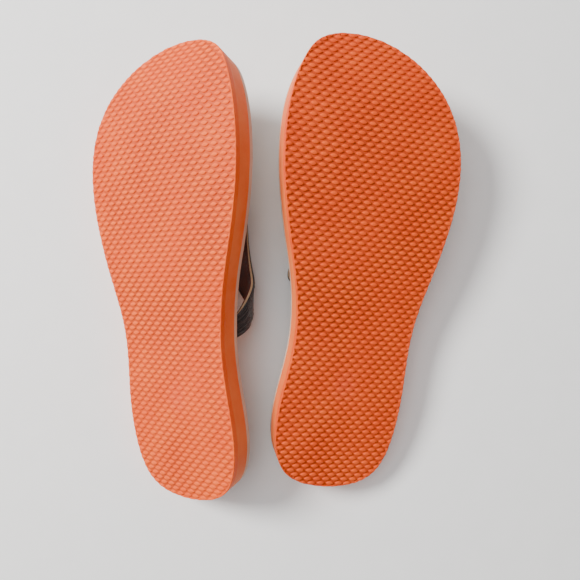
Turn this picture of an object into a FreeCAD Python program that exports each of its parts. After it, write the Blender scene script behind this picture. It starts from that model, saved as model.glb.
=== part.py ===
import FreeCAD, Part
import math
import os

import Sketcher

Vector = FreeCAD.Vector

# A pair of thong sandals, turned soles up and lying on their straps.
# Each sandal is designed the way it is worn: x across, y towards the toes, z up,
# z = 0 under the flat of the outsole, y = 0 at mid-length. "Medial" is the big-toe side.
# A placement then rolls the finished sandal over and sets it on the floor.

# ---------------------------------------------------------------- driving dimensions (mm, degrees)

DIMENSIONS = {
    # plan outline of the sole, measured from the line through mid-heel
    "sole_length": 247.0,
    "toe_tip_across": 18.0,
    "toe_medial": 42.5,
    "toe_lateral": 40.5,
    "ball_medial": 48.5,
    "ball_lateral": 51.5,
    "waist_medial": 29.0,
    "waist_lateral": 39.0,
    "heel_medial": 33.5,
    "heel_lateral": 35.5,
    # layers of the sole, from the ground up
    "outsole_thickness": 3.5,
    "midsole_thickness": 9.0,
    "footbed_thickness": 2.7,
    # lengthwise shape of the sole
    "toe_rise": 13.0,
    "toe_bend_start": 50.0,
    "ball_flat_start": 14.0,
    "heel_rise": 3.5,
    "heel_bend_start": 75.0,
    "arch_rise": 2.0,
    # straps
    "anchor_behind_middle": 29.0,
    "anchor_inset": 3.5,
    "post_across": 8.0,
    "post_ahead_of_middle": 78.0,
    "post_height": 15.0,
    "post_diameter": 6.0,
    "strap_rise": 32.0,
    "strap_width": 18.0,
    "strap_foot_width": 11.0,
    "strap_neck_width": 9.0,
    "lining_thickness": 0.8,
    "core_thickness": 1.2,
    "upper_thickness": 1.0,
    "gather_bulge": 2.2,
    "saddle_length": 9.0,
    "saddle_corner": 3.5,
    # plugs that hold the straps inside the midsole
    "plug_across": 9.0,
    "plug_along": 17.0,
    "plug_thickness": 3.5,
    "disc_diameter": 17.0,
    "fit_clearance": 0.3,
    # how each sandal lies: rolled towards its lateral edge, toe end raised, turned on the
    # floor; how far its strap's legs bulge outwards and its crown leans to the lateral side
    "right_roll": 30.0,
    "right_pitch": 5.6,
    "right_yaw": 3.6,
    "right_medial_splay": 3.0,
    "right_lateral_splay": 2.0,
    "right_lean": 14.0,
    "left_roll": 14.8,
    "left_pitch": 8.0,
    "left_yaw": -7.3,
    "left_medial_splay": -4.0,
    "left_lateral_splay": 6.0,
    "left_lean": 10.0,
    "pair_spacing": 100.3,
    "pair_stagger": 3.4,
    # blank that each layer is cut from
    "blank_margin": 10.0,
}

doc = FreeCAD.newDocument("thong_sandals")
sheet = doc.addObject("Spreadsheet::Sheet", "dims")
for row, (alias, value) in enumerate(DIMENSIONS.items(), start=1):
    sheet.set("A%d" % row, alias)
    sheet.set("B%d" % row, str(value))
    sheet.setAlias("B%d" % row, alias)
doc.recompute()


def dim(alias):
    """Read one driving dimension back from the sheet."""
    return float(getattr(sheet, alias))


SOLE_THICKNESS = dim("outsole_thickness") + dim("midsole_thickness") + dim("footbed_thickness")
STRAP_THICKNESS = dim("lining_thickness") + dim("core_thickness") + dim("upper_thickness")
HALF_LENGTH = dim("sole_length") / 2.0

# ---------------------------------------------------------------- shape of the sole


def ground_line(along):
    """Height and slope of the outsole's underside at a place along the sole."""
    toe_start = dim("toe_bend_start")
    flat_start = dim("ball_flat_start")
    heel_start = -dim("heel_bend_start")
    if along > toe_start:
        reach = HALF_LENGTH - toe_start
        share = (along - toe_start) / reach
        return dim("toe_rise") * share ** 3, 3.0 * dim("toe_rise") * share ** 2 / reach
    if along < heel_start:
        reach = HALF_LENGTH + heel_start
        share = (heel_start - along) / reach
        return dim("heel_rise") * share ** 2, -2.0 * dim("heel_rise") * share / reach
    if along >= flat_start:
        return 0.0, 0.0
    reach = flat_start - heel_start
    turn = math.pi * (along - heel_start) / reach
    height = dim("arch_rise") * math.sin(turn) ** 2
    return height, dim("arch_rise") * math.sin(2.0 * turn) * math.pi / reach


def layer_line(offset, first, last, steps):
    """Points of the ground line between two places, moved square to it into the sole."""
    points = []
    for step in range(steps + 1):
        along = first + (last - first) * step / steps
        height, slope = ground_line(along)
        stretch = math.hypot(1.0, slope)
        points.append((along - offset * slope / stretch, height + offset / stretch))
    return points


def surface_height(along, offset):
    """Height of a layer's face above the ground at a place along the sole."""
    height, slope = ground_line(along)
    return height + offset * math.hypot(1.0, slope)


def outline_curve(medial):
    """Closed plan outline; medial is +1 or -1, the side of x that the big toe is on."""
    tip = dim("toe_tip_across")
    length = HALF_LENGTH
    stations = [
        (tip, length),
        (tip + 0.72 * (dim("toe_medial") - tip), length - 7.5),
        (dim("toe_medial"), length - 18.5),
        (dim("ball_medial"), 73.0),
        (0.5 * (dim("ball_medial") + dim("waist_medial")), 14.0),
        (dim("waist_medial"), -38.0),
        (dim("heel_medial"), -92.0),
        (0.74 * dim("heel_medial"), 8.5 - length),
        (0.0, -length),
        (-0.73 * dim("heel_lateral"), 7.5 - length),
        (-dim("heel_lateral"), -90.0),
        (-dim("waist_lateral"), -25.0),
        (-dim("ball_lateral"), 50.0),
        (-dim("toe_lateral"), length - 31.0),
        (-0.35 * dim("toe_lateral"), length - 6.0),
    ]
    curve = Part.BSplineCurve()
    curve.interpolate([Vector(medial * across, along, 0.0) for across, along in stations],
                      PeriodicFlag=True)
    return curve


def edge_across(medial, side, along):
    """Distance from x = 0 to the sole's edge, on the side of x given by its sign."""
    line = Part.LineSegment(Vector(0, along, 0), Vector(side * 100.0, along, 0))
    crossings = outline_curve(medial).intersectCC(line)
    return max(abs(point.X) for point in crossings)


# ---------------------------------------------------------------- sketch and body helpers


def origin_plane(body, role):
    return [plane for plane in body.Origin.OriginFeatures if plane.Role == role][0]


def new_sketch(body, name, role):
    sketch = body.newObject("Sketcher::SketchObject", name)
    sketch.AttachmentSupport = [(origin_plane(body, role), "")]
    sketch.MapMode = "FlatFace"
    return sketch


def add_rectangle(sketch, name, left, front, across, along):
    """Rectangle whose corner and sides are constraints bound to the given expressions."""
    corners = [Vector(0, 0, 0), Vector(10, 0, 0), Vector(10, 10, 0), Vector(0, 10, 0)]
    first = sketch.GeometryCount
    for index in range(4):
        sketch.addGeometry(Part.LineSegment(corners[index], corners[(index + 1) % 4]), False)
    for index in range(4):
        following = first + (index + 1) % 4
        sketch.addConstraint(Sketcher.Constraint("Coincident", first + index, 2, following, 1))
    for index, kind in enumerate(("Horizontal", "Vertical", "Horizontal", "Vertical")):
        sketch.addConstraint(Sketcher.Constraint(kind, first + index))
    bindings = (
        ("left", "DistanceX", (-1, 1, first, 1), left),
        ("front", "DistanceY", (-1, 1, first, 1), front),
        ("across", "DistanceX", (first, 1, first, 2), across),
        ("along", "DistanceY", (first + 1, 1, first + 1, 2), along),
    )
    for side, kind, ends, expression in bindings:
        index = sketch.addConstraint(Sketcher.Constraint(kind, *ends, 10.0))
        sketch.renameConstraint(index, name + "_" + side)
        sketch.setExpression("Constraints." + name + "_" + side, expression)


def add_circle(sketch, name, centre, radius):
    """Circle about a fixed centre with its radius bound to the given expression."""
    index = sketch.addGeometry(Part.Circle(centre, Vector(0, 0, 1), 5.0), False)
    for kind, value in (("DistanceX", centre.x), ("DistanceY", centre.y)):
        sketch.addConstraint(Sketcher.Constraint(kind, -1, 1, index, 3, value))
    bound = sketch.addConstraint(Sketcher.Constraint("Radius", index, 5.0))
    sketch.renameConstraint(bound, name + "_radius")
    sketch.setExpression("Constraints." + name + "_radius", radius)


def new_pocket(body, sketch, name):
    """Pocket both ways right through the body."""
    pocket = body.newObject("PartDesign::Pocket", name)
    pocket.Profile = sketch
    pocket.Midplane = True
    pocket.Type = "ThroughAll"
    return pocket


def sole_layer(label, medial, lower, upper):
    """One layer of the sole: a bent sheet between two offsets, cut to the plan outline."""
    body = doc.addObject("PartDesign::Body", label)
    body.Label = label
    profile = new_sketch(body, label + "_profile", "YZ_Plane")
    blank_end = HALF_LENGTH + dim("blank_margin")
    ends = []
    for offset in (lower, upper):
        back = layer_line(offset, -blank_end, dim("ball_flat_start"), 18)
        front = layer_line(offset, dim("toe_bend_start"), blank_end, 10)
        for points in (back, front):
            curve = Part.BSplineCurve()
            curve.interpolate([Vector(along, height, 0) for along, height in points])
            profile.addGeometry(curve, False)
        flat = Part.LineSegment(Vector(*back[-1], 0), Vector(*front[0], 0))
        profile.addGeometry(flat, False)
        ends.append((Vector(*back[0], 0), Vector(*front[-1], 0)))
    for below, above in zip(*ends):
        profile.addGeometry(Part.LineSegment(below, above), False)
    blank = body.newObject("PartDesign::Pad", label + "_blank")
    blank.Profile = profile
    blank.Midplane = True
    blank.setExpression("Length", "2 * (dims.ball_medial + dims.ball_lateral)")

    plan = new_sketch(body, label + "_plan", "XY_Plane")
    plan.addGeometry(outline_curve(medial), False)
    half_width = "(2 * (dims.ball_medial + dims.ball_lateral) + dims.blank_margin)"
    half_length = "(dims.sole_length / 2 + 3 * dims.blank_margin)"
    add_rectangle(plan, "offcut", "-" + half_width, "-" + half_length,
                  "2 * " + half_width, "2 * " + half_length)
    new_pocket(body, plan, label + "_offcut")
    doc.recompute()
    return body


# ---------------------------------------------------------------- straps


def unit(vector):
    return Vector(vector).normalize()


def smooth_step(value):
    value = min(max(value, 0.0), 1.0)
    return value * value * (3.0 - 2.0 * value)


# Way of each leg from its slot to the saddle: share of the way forward, share of the way
# across, share of the splay outwards, share of the rise.
LEG_WAYS = {
    "medial": (
        (0.018, 0.0, 0.45, 0.20),
        (0.070, 0.0, 1.00, 0.42),
        (0.140, 0.0, 0.70, 0.66),
        (0.240, 0.22, 0.15, 0.84),
        (0.420, 0.42, 0.0, 0.97),
        (0.600, 0.57, 0.0, 1.00),
        (0.780, 0.79, 0.0, 0.84),
    ),
    "lateral": (
        (0.018, 0.0, 0.28, 0.15),
        (0.070, 0.0, 1.00, 0.29),
        (0.150, 0.02, 0.85, 0.50),
        (0.270, 0.18, 0.20, 0.76),
        (0.420, 0.45, 0.0, 0.95),
        (0.600, 0.72, 0.0, 1.00),
        (0.780, 0.90, 0.0, 0.84),
    ),
}


class StrapLeg:
    """Centre line, widths and layers of one leg of the Y-shaped strap."""

    sections = 34
    crowding = 1.5
    gather_share = 0.13
    twist_share = 0.25

    def __init__(self, name, medial, splay, lean, floor):
        self.side = medial if name == "medial" else -medial
        self.floor = floor
        along = -dim("anchor_behind_middle")
        self.base = surface_height(along, SOLE_THICKNESS)
        inner = edge_across(medial, self.side, along) - dim("anchor_inset") - STRAP_THICKNESS
        self.anchor = Vector(self.side * inner, along, self.base)
        neck = self.side * (dim("strap_neck_width") + dim("fit_clearance")) / 2.0
        self.end = Vector(medial * dim("post_across") + neck, dim("post_ahead_of_middle"),
                          self.base + dim("post_height"))
        reach = self.end.y - along
        span = self.end.x - self.anchor.x
        slot = dim("footbed_thickness") + dim("fit_clearance")
        points = [self.anchor - Vector(0, 0, slot), Vector(self.anchor)]
        for forward, across, outwards, up in LEG_WAYS[name]:
            leaning = 1.4 * smooth_step((forward - 0.05) / 0.5) * (1.0 - forward)
            sideways = across * span + self.side * outwards * splay - medial * leaning * lean
            points.append(self.anchor + Vector(sideways, forward * reach,
                                               up * dim("strap_rise")))
        points.append(self.end + Vector(0, -8.0, 1.2))
        points.append(Vector(self.end))
        self.curve = Part.BSplineCurve()
        self.curve.interpolate(points)
        self.start_share = slot / self.curve.length()
        last = self.sections - 1.0
        self.shares = [(index / last) ** self.crowding for index in range(self.sections)]
        self.frames = self.settled_frames()

    def width(self, share):
        """Strap width at a share of the centre line's length."""
        foot = dim("strap_foot_width")
        full = dim("strap_width")
        neck = dim("strap_neck_width")
        widened = foot + (full - foot) * smooth_step((share - 0.06) / 0.20)
        return widened + (neck - full) * smooth_step((share - 0.52) / 0.38)

    def gather(self, share):
        """How far the gathered fabric stands proud of the strap's outer face."""
        first = 2.0 * self.start_share
        inside = (share - first) / (self.gather_share - first)
        if inside <= 0.0 or inside >= 1.0:
            return 0.0
        return dim("gather_bulge") * math.sin(math.pi * inside)

    def squashed(self, share):
        """Least thickness that the gathered fabric keeps under load."""
        least = dim("gather_bulge") / 4.0
        return least if self.gather(share) > least else 0.0

    def free_frame(self, share):
        """Point and outward normal of the lining as the strap would stand unloaded."""
        length = self.curve.length()
        parameter = self.curve.parameterAtDistance(share * length, self.curve.FirstParameter)
        point = self.curve.value(parameter)
        sink = 36.0 * smooth_step((share - 0.3) / 0.7) - 6.0
        heart = Vector(self.end.x * 0.6, point.y, self.base - sink)
        if share < 2.0 * self.start_share:
            return point, Vector(self.side, 0, 0)
        return point, unit(point - heart)

    def settled_frames(self):
        """Point, outward normal and width direction at each section, resting on the floor."""
        points = []
        normals = []
        for share in self.shares:
            point, normal = self.free_frame(share)
            load = 0.0
            if share > self.start_share:
                point, load = self.floor.press(point, STRAP_THICKNESS + dim("fit_clearance"))
            points.append(point)
            normals.append(unit(normal * (1.0 - load) - self.floor.up * load))
        frames = []
        for index, point in enumerate(points):
            before = points[max(index - 1, 0)]
            after = points[min(index + 1, len(points) - 1)]
            tangent = unit(after - before)
            if index == len(points) - 1:
                tangent = Vector(0, 1, 0)
            if self.shares[index] < self.start_share:
                tangent = Vector(0, 0, 1)
            across = unit(tangent.cross(normals[index]))
            twist = smooth_step((self.shares[index] - self.start_share) / self.twist_share)
            across = unit(Vector(0, self.side, 0) * (1.0 - twist) + across * twist)
            frames.append((point, unit(across.cross(tangent)), across))
        return frames

    def edges(self, index, offset, stack):
        """Both edges of a face at an offset from the lining, kept off the floor by stack."""
        point, normal, across = self.frames[index]
        half = self.width(self.shares[index]) / 2.0
        return [self.floor.lift(point + normal * offset + across * (sign * half), stack)
                for sign in (-1.0, 1.0)]

    def band(self, inner, outer):
        """One layer of the strap, lofted straight from section to section."""
        wires = []
        for index, share in enumerate(self.shares):
            under = STRAP_THICKNESS + self.squashed(share)
            low = self.edges(index, inner, under - inner)
            high = self.edges(index, outer, under - outer)
            wires.append(Part.makePolygon([low[0], low[1], high[1], high[0], low[0]]))
        return Part.makeLoft(wires, True, True)

    def gather_band(self):
        """Bunched fabric on the outer face where the strap comes out of its slot."""
        bunched = [index for index, share in enumerate(self.shares) if self.squashed(share)]
        wires = []
        for index in bunched:
            share = self.shares[index]
            low = self.edges(index, STRAP_THICKNESS, self.squashed(share))
            high = self.edges(index, STRAP_THICKNESS + self.gather(share), 0.0)
            if index in (bunched[0], bunched[-1]):
                high = [edge + self.frames[index][1] * self.squashed(share) for edge in low]
            wires.append(Part.makePolygon([low[0], low[1], high[1], high[0], low[0]]))
        return Part.makeLoft(wires, True, True)


class Floor:
    """The floor as it lies against one sandal, in that sandal's own axes."""

    def __init__(self, rotation, soles):
        self.rotation = rotation
        self.up = rotation.inverted().multVec(Vector(0, 0, 1))
        lowest = []
        for sole in soles:
            turned = sole.copy()
            turned.Placement = FreeCAD.Placement(Vector(0, 0, 0), rotation)
            lowest.append(turned.optimalBoundingBox(False).ZMin)
        self.level = min(lowest)

    def clearance(self, point):
        return self.up.dot(point) - self.level

    def press(self, point, stack):
        """Ease a point off the floor by the stack under it, and say how hard it is pressed."""
        softness = 1.5
        spare = (self.clearance(point) - stack) / softness
        if spare > 20.0:
            return point, 0.0
        eased = softness * math.log1p(math.exp(spare))
        load = 1.0 / (1.0 + math.exp(spare))
        return point + self.up * (stack + eased - self.clearance(point)), load

    def lift(self, point, stack):
        """Lift a point just enough to clear the floor by the stack below it."""
        return point + self.up * max(0.0, stack - self.clearance(point))


def soft_band(label, shape):
    """Finished piece of the strap, with its faces turned outwards."""
    feature = doc.addObject("Part::Feature", label)
    feature.Label = label
    feature.Shape = shape if shape.Volume > 0.0 else shape.reversed()
    return feature


# ---------------------------------------------------------------- plugs, toe post and saddle


def plug(label, centre):
    """Flat plug under a strap's foot, with the centre of its underside given."""
    block = doc.addObject("Part::Box", label + "_block")
    block.setExpression("Length", "dims.plug_across")
    block.setExpression("Width", "dims.plug_along")
    block.setExpression("Height", "dims.plug_thickness")
    doc.recompute()
    rounded = doc.addObject("Part::Fillet", label)
    rounded.Label = label
    rounded.Base = block
    radius = min(2.5, 0.3 * dim("plug_across"))
    upright = [index for index, edge in enumerate(block.Shape.Edges, start=1)
               if abs(edge.tangentAt(edge.FirstParameter).z) > 0.9]
    rounded.Edges = [(index, radius, radius) for index in upright]
    corner = centre - Vector(dim("plug_across"), dim("plug_along"), 0) * 0.5
    return rounded, FreeCAD.Placement(corner, FreeCAD.Rotation())


def round_piece(label, diameter, height, centre, low):
    piece = doc.addObject("Part::Cylinder", label)
    piece.Label = label
    piece.setExpression("Radius", diameter + " / 2")
    piece.setExpression("Height", height)
    return piece, FreeCAD.Placement(Vector(centre.x, centre.y, low), FreeCAD.Rotation())


def saddle(label):
    """Block that joins the two legs over the toe post, rounded at the front."""
    body = doc.addObject("PartDesign::Body", label)
    body.Label = label
    plan = new_sketch(body, label + "_plan", "XY_Plane")
    width = "(2 * dims.strap_neck_width + dims.fit_clearance)"
    add_rectangle(plan, "block", "-" + width + " / 2", "0", width, "dims.saddle_length")
    pad = body.newObject("PartDesign::Pad", label + "_pad")
    pad.Profile = plan
    pad.setExpression("Length", "dims.lining_thickness + dims.core_thickness"
                                " + dims.upper_thickness")
    doc.recompute()
    front = []
    for index, edge in enumerate(pad.Shape.Edges, start=1):
        upright = abs(edge.tangentAt(edge.FirstParameter).z) > 0.9
        if upright and edge.CenterOfMass.y > dim("saddle_length") / 2.0:
            front.append("Edge%d" % index)
    corners = body.newObject("PartDesign::Fillet", label + "_corners")
    corners.Base = (pad, front)
    corners.setExpression("Radius", "dims.saddle_corner")
    body.Tip = corners
    return body


# ---------------------------------------------------------------- one sandal


def cut_slots(name, footbed, legs, post_centre):
    """Slots for the strap feet and the toe post's hole, right through the footbed."""
    clear = "dims.fit_clearance"
    thickness = "(dims.lining_thickness + dims.core_thickness + dims.upper_thickness)"
    sketch = new_sketch(footbed, name + "_slots", "XY_Plane")
    for leg_name, leg in legs.items():
        inner = min(leg.anchor.x, leg.anchor.x + leg.side * STRAP_THICKNESS)
        add_rectangle(sketch, leg_name, "%.4f - %s" % (inner, clear),
                      "%.4f - dims.strap_foot_width / 2 - %s" % (leg.anchor.y, clear),
                      "%s + 2 * %s" % (thickness, clear),
                      "dims.strap_foot_width + 2 * " + clear)
    add_circle(sketch, "post", post_centre, "dims.post_diameter / 2 + " + clear)
    new_pocket(footbed, sketch, name + "_slot_cut")


def cut_bed(name, midsole, level, fill_sketch):
    """Pocket in the midsole, open towards the footbed, with its floor at the given height."""
    sketch = new_sketch(midsole, name, "XY_Plane")
    sketch.AttachmentOffset = FreeCAD.Placement(Vector(0, 0, level), FreeCAD.Rotation())
    fill_sketch(sketch)
    before = midsole.Shape.Volume
    pocket = new_pocket(midsole, sketch, name + "_cut")
    pocket.Midplane = False
    pocket.Reversed = True
    doc.recompute()
    if not midsole.Shape.Volume < before:
        raise ValueError(name + " removed nothing from the midsole")


def lying_rotation(name, medial):
    """Turn from the worn position to the way this sandal lies, sole up."""
    roll_over = FreeCAD.Rotation(Vector(0, 1, 0), 180.0)
    roll = FreeCAD.Rotation(Vector(0, 1, 0), medial * dim(name + "_roll"))
    pitch = FreeCAD.Rotation(Vector(1, 0, 0), dim(name + "_pitch"))
    yaw = FreeCAD.Rotation(Vector(0, 0, 1), dim(name + "_yaw"))
    return yaw.multiply(pitch).multiply(roll).multiply(roll_over)


def build_sandal(name, medial):
    """Every piece of one sandal in worn position, with its own placement there."""
    worn = FreeCAD.Placement()
    lower = dim("outsole_thickness")
    upper = lower + dim("midsole_thickness")
    outsole = sole_layer(name + "_outsole", medial, 0.0, lower)
    midsole = sole_layer(name + "_midsole", medial, lower, upper)
    footbed = sole_layer(name + "_footbed", medial, upper, SOLE_THICKNESS)
    pieces = [(outsole, worn), (midsole, worn), (footbed, worn)]

    rotation = lying_rotation(name, medial)
    floor = Floor(rotation, [outsole.Shape, midsole.Shape, footbed.Shape])
    legs = {side: StrapLeg(side, medial, dim("%s_%s_splay" % (name, side)),
                           dim(name + "_lean"), floor) for side in ("medial", "lateral")}
    post_along = dim("post_ahead_of_middle") + dim("saddle_length") / 2.0
    post_centre = Vector(medial * dim("post_across"), post_along, 0)
    cut_slots(name, footbed, legs, post_centre)

    clear = dim("fit_clearance")
    layers = (("lining", dim("lining_thickness")), ("core", dim("core_thickness")),
              ("upper", dim("upper_thickness")))
    for leg_name, leg in legs.items():
        offset = 0.0
        for layer_name, thickness in layers:
            label = "%s_%s_strap_%s" % (name, leg_name, layer_name)
            pieces.append((soft_band(label, leg.band(offset, offset + thickness)), worn))
            offset += thickness
        label = "%s_%s_strap_gather" % (name, leg_name)
        pieces.append((soft_band(label, leg.gather_band()), worn))
        inwards = leg.side * (STRAP_THICKNESS - dim("plug_across") / 2.0)
        low = dim("footbed_thickness") + clear + dim("plug_thickness")
        centre = leg.anchor + Vector(inwards, 0, -low)
        cut_bed("%s_%s_bed" % (name, leg_name), midsole, centre.z - clear,
                lambda sketch, centre=centre: add_rectangle(
                    sketch, "plug",
                    "%.4f - dims.plug_across / 2 - dims.fit_clearance" % centre.x,
                    "%.4f - dims.plug_along / 2 - dims.fit_clearance" % centre.y,
                    "dims.plug_across + 2 * dims.fit_clearance",
                    "dims.plug_along + 2 * dims.fit_clearance"))
        pieces.append(plug("%s_%s_strap_plug" % (name, leg_name), centre))

    disc_top = surface_height(post_along - dim("disc_diameter") / 2.0, upper) - clear
    disc_low = disc_top - dim("plug_thickness")
    cut_bed(name + "_disc_bed", midsole, disc_low - clear,
            lambda sketch: add_circle(sketch, "disc", post_centre,
                                      "dims.disc_diameter / 2 + dims.fit_clearance"))
    pieces.append(round_piece(name + "_toe_post_disc", "dims.disc_diameter",
                              "dims.plug_thickness", post_centre, disc_low))
    saddle_low = legs["medial"].end.z
    pieces.append(round_piece(name + "_toe_post", "dims.post_diameter",
                              "%.4f" % (saddle_low - disc_top), post_centre, disc_top))
    saddle_at = Vector(post_centre.x, dim("post_ahead_of_middle"), saddle_low)
    pieces.append((saddle(name + "_strap_saddle"),
                   FreeCAD.Placement(saddle_at, FreeCAD.Rotation())))
    doc.recompute()
    return pieces, rotation, floor


# ---------------------------------------------------------------- the pair on the floor


def place_pair(sandals):
    """Lay both sandals on the floor and centre the pair's box on the origin."""
    boxes = []
    for (pieces, rotation, floor), shift in sandals:
        lying = FreeCAD.Placement(shift - Vector(0, 0, floor.level), rotation)
        for piece, own in pieces:
            piece.Placement = lying.multiply(own)
            boxes.append(piece.Shape.optimalBoundingBox(False))
    middle = Vector(-(min(box.XMin for box in boxes) + max(box.XMax for box in boxes)) / 2.0,
                    -(min(box.YMin for box in boxes) + max(box.YMax for box in boxes)) / 2.0,
                    -min(box.ZMin for box in boxes))
    for (pieces, rotation, floor), shift in sandals:
        for piece, own in pieces:
            piece.Placement = FreeCAD.Placement(middle, FreeCAD.Rotation()).multiply(
                piece.Placement)


half_way = Vector(dim("pair_spacing"), dim("pair_stagger"), 0) * 0.5
right = build_sandal("right", -1)
left = build_sandal("left", 1)
place_pair([(right, half_way.negative()), (left, half_way)])

SUB_PARTS = [piece for sandal in (right, left) for piece, own in sandal[0]]
for item in doc.Objects:
    if "Invalid" in item.State or "Error" in item.State:
        raise ValueError("%s failed: %s" % (item.Label, item.State))
for piece in SUB_PARTS:
    if piece.Shape.isNull() or not piece.Shape.isValid():
        raise ValueError(piece.Label + " has no valid shape")

os.makedirs("parts", exist_ok=True)
for piece in SUB_PARTS:
    piece.Shape.exportStep(os.path.join("parts", piece.Label + ".step"))
whole = Part.makeCompound([piece.Shape for piece in SUB_PARTS]).optimalBoundingBox(False)
print("%d sub-parts, box %.1f x %.1f x %.1f mm"
      % (len(SUB_PARTS), whole.XLength, whole.YLength, whole.ZLength))
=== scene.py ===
import math

import bmesh
import bpy
import numpy as np
from mathutils import Matrix, Vector
from mathutils.geometry import delaunay_2d_cdt


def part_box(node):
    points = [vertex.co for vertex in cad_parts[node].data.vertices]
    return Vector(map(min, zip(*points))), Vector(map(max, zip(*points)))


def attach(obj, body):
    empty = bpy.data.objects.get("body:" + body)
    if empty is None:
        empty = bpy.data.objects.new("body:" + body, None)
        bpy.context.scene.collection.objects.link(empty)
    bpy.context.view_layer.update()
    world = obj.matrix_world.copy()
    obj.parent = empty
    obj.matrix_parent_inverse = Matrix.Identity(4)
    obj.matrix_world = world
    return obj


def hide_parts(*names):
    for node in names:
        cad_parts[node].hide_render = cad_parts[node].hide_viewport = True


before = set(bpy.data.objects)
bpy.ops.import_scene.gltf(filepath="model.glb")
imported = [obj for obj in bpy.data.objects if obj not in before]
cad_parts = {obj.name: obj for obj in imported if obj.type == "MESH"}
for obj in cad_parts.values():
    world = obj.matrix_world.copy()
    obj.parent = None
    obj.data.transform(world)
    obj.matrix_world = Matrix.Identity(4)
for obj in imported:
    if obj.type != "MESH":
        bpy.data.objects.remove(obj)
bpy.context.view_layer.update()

# A pair of thong sandals lying soles up. Each sandal is described as it is worn, in
# millimetres: x across, y towards the toes, z up, y = 0 at mid-length and z = 0 under the
# flat of the outsole. Sandal.place turns that into the frame's metres.

MM = 0.001
RNG = np.random.default_rng(7)

# ---------------------------------------------------------------- sizes of the design (mm)

LENGTH = 247.0
HALF = LENGTH / 2.0
TOE_TIP = 18.0
TOE_MEDIAL, TOE_LATERAL = 42.5, 40.5
BALL_MEDIAL, BALL_LATERAL = 48.5, 51.5
WAIST_MEDIAL, WAIST_LATERAL = 29.0, 39.0
HEEL_MEDIAL, HEEL_LATERAL = 33.5, 35.5
OUTSOLE, MIDSOLE, FOOTBED = 3.5, 9.0, 2.7
SOLE = OUTSOLE + MIDSOLE + FOOTBED
TOE_RISE, TOE_BEND = 13.0, 50.0
HEEL_RISE, HEEL_BEND = 3.5, -75.0
ARCH_RISE, BALL_FLAT = 2.0, 14.0
ANCHOR_ALONG, ANCHOR_INSET = -29.0, 3.5
POST_ACROSS, POST_ALONG, POST_HEIGHT, POST_DIAMETER = 8.0, 78.0, 15.0, 6.0
STRAP_RISE = 32.0
FULL_WIDTH, FOOT_WIDTH, NECK_WIDTH = 18.0, 11.0, 9.0
LINING, CORE, UPPER = 0.8, 1.2, 1.0
STRAP = LINING + CORE + UPPER
GATHER_BULGE, GATHER_END, TWIST_SHARE = 2.2, 0.13, 0.25
SADDLE_LENGTH, SADDLE_CORNER = 9.0, 3.5
PLUG_ACROSS, PLUG_ALONG, PLUG_THICKNESS = 9.0, 17.0, 3.5
DISC_DIAMETER, CLEAR = 17.0, 0.3
THREAD, THREAD_STEPS = 0.24, 6

# roll towards the lateral edge, pitch, turn on the floor (degrees), and how far the strap's
# crown leans to the lateral side and its legs bulge outwards (mm)
LYING = {"right": (30.0, 5.6, 3.6, 14.0), "left": (14.8, 8.0, -7.3, 10.0)}
SPLAY = {("right", "medial"): 3.0, ("right", "lateral"): 2.0,
         ("left", "medial"): -4.0, ("left", "lateral"): 6.0}
MEDIAL = {"right": -1.0, "left": 1.0}

# tread: rows of lens-shaped pads, each row shifted by half a column
ROW, COLUMN = 2.7, 5.4
PAD_REACH, PAD_HALF, TREAD_DEPTH = 2.45, 1.3, 0.65

# ---------------------------------------------------------------- shape of the sole


def ground_line(along):
    """Height and slope of the underside at places along the sole."""
    along = np.asarray(along, dtype=float)
    toe = np.clip((along - TOE_BEND) / (HALF - TOE_BEND), 0.0, None)
    heel = np.clip((HEEL_BEND - along) / (HALF + HEEL_BEND), 0.0, None)
    turn = np.clip((along - HEEL_BEND) / (BALL_FLAT - HEEL_BEND), 0.0, 1.0) * math.pi
    height = TOE_RISE * toe ** 3 + HEEL_RISE * heel ** 2 + ARCH_RISE * np.sin(turn) ** 2
    slope = 3.0 * TOE_RISE * toe ** 2 / (HALF - TOE_BEND)
    slope = slope - 2.0 * HEEL_RISE * heel / (HALF + HEEL_BEND)
    slope = slope + ARCH_RISE * np.sin(2.0 * turn) * math.pi / (BALL_FLAT - HEEL_BEND)
    return height, slope


def layer_height(along, offset):
    """Height of a layer's face at one place along the sole."""
    height, slope = ground_line(along)
    return float(height + offset * np.hypot(1.0, slope))


def bend(plan, offset):
    """Plan points on the sole, moved square to the ground line by an offset into the sole."""
    height, slope = ground_line(plan[:, 1])
    stretch = np.hypot(1.0, slope)
    return np.column_stack((plan[:, 0], plan[:, 1] - offset * slope / stretch,
                            height + offset / stretch))


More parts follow.
